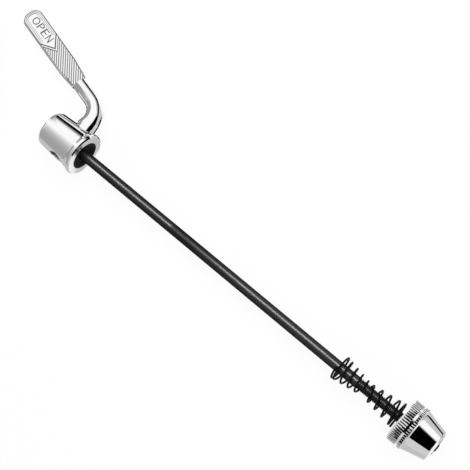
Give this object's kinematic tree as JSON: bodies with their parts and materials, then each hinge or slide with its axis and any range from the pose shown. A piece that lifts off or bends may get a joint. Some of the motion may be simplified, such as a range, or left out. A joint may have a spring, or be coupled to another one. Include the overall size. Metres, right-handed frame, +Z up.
{
  "type": "quick release skewer",
  "caption": "Bicycle quick release skewer with an enclosed cam, bent lever, threaded rod, conical springs and a knurled adjusting nut.",
  "frame": {"origin": "centre of the cam housing's clamp face, on the rod axis", "axes": "+X along the rod from the lever end to the nut, +Z up as the skewer lies on a level surface, +Y towards the lever's side"},
  "size_m": [0.2806, 0.0508, 0.0216],
  "materials": {
    "chrome": "bright chrome plate",
    "black_steel": "satin black coated steel",
    "spring_steel": "black coated spring wire",
    "black_plastic": "moulded black plastic",
    "nylon": "dark nylon"
  },
  "bodies": {
    "rod": {"skewer_rod": "black_steel"},
    "housing": {"cam_housing": "chrome", "face_bush": "black_plastic"},
    "lever": {"lever": "chrome", "thrust_washer": "black_steel", "retaining_ring": "black_steel"},
    "lever_spring": {"lever_side_spring": "spring_steel"},
    "nut_spring": {"nut_side_spring": "spring_steel"},
    "nut": {"adjusting_nut": "chrome", "nut_lock_ring": "nylon"}
  },
  "joints": [
    {"name": "housing_slide", "type": "slide", "parent": "rod", "child": "housing", "axis": [1, 0, 0], "range_m": [-0.0011, 0.0011]},
    {"name": "lever_turn", "type": "hinge", "parent": "housing", "child": "lever", "pos_m": [-0.0094, 0, 0], "axis": [0, 0.9733, -0.2297], "range_deg": [-90, 90]},
    {"name": "nut_travel", "type": "slide", "parent": "rod", "child": "nut_spring", "axis": [1, 0, 0], "range_m": [-0.0216, 0]},
    {"name": "nut_turn", "type": "hinge", "parent": "nut_spring", "child": "nut", "pos_m": [0.1877, 0, 0], "axis": [1, 0, 0], "range_deg": [-9720, 0]},
    {"name": "lever_spring_slide", "type": "slide", "parent": "rod", "child": "lever_spring", "axis": [1, 0, 0], "range_m": [-0.0216, 0]}
  ],
  "couplings": [
    {"joint": "housing_slide", "follows": "lever_turn", "m_per_rad": 0.00070028},
    {"joint": "nut_travel", "follows": "nut_turn", "m_per_rad": 0.00012732},
    {"joint": "lever_spring_slide", "follows": "nut_turn", "m_per_rad": 0.00012732}
  ]
}
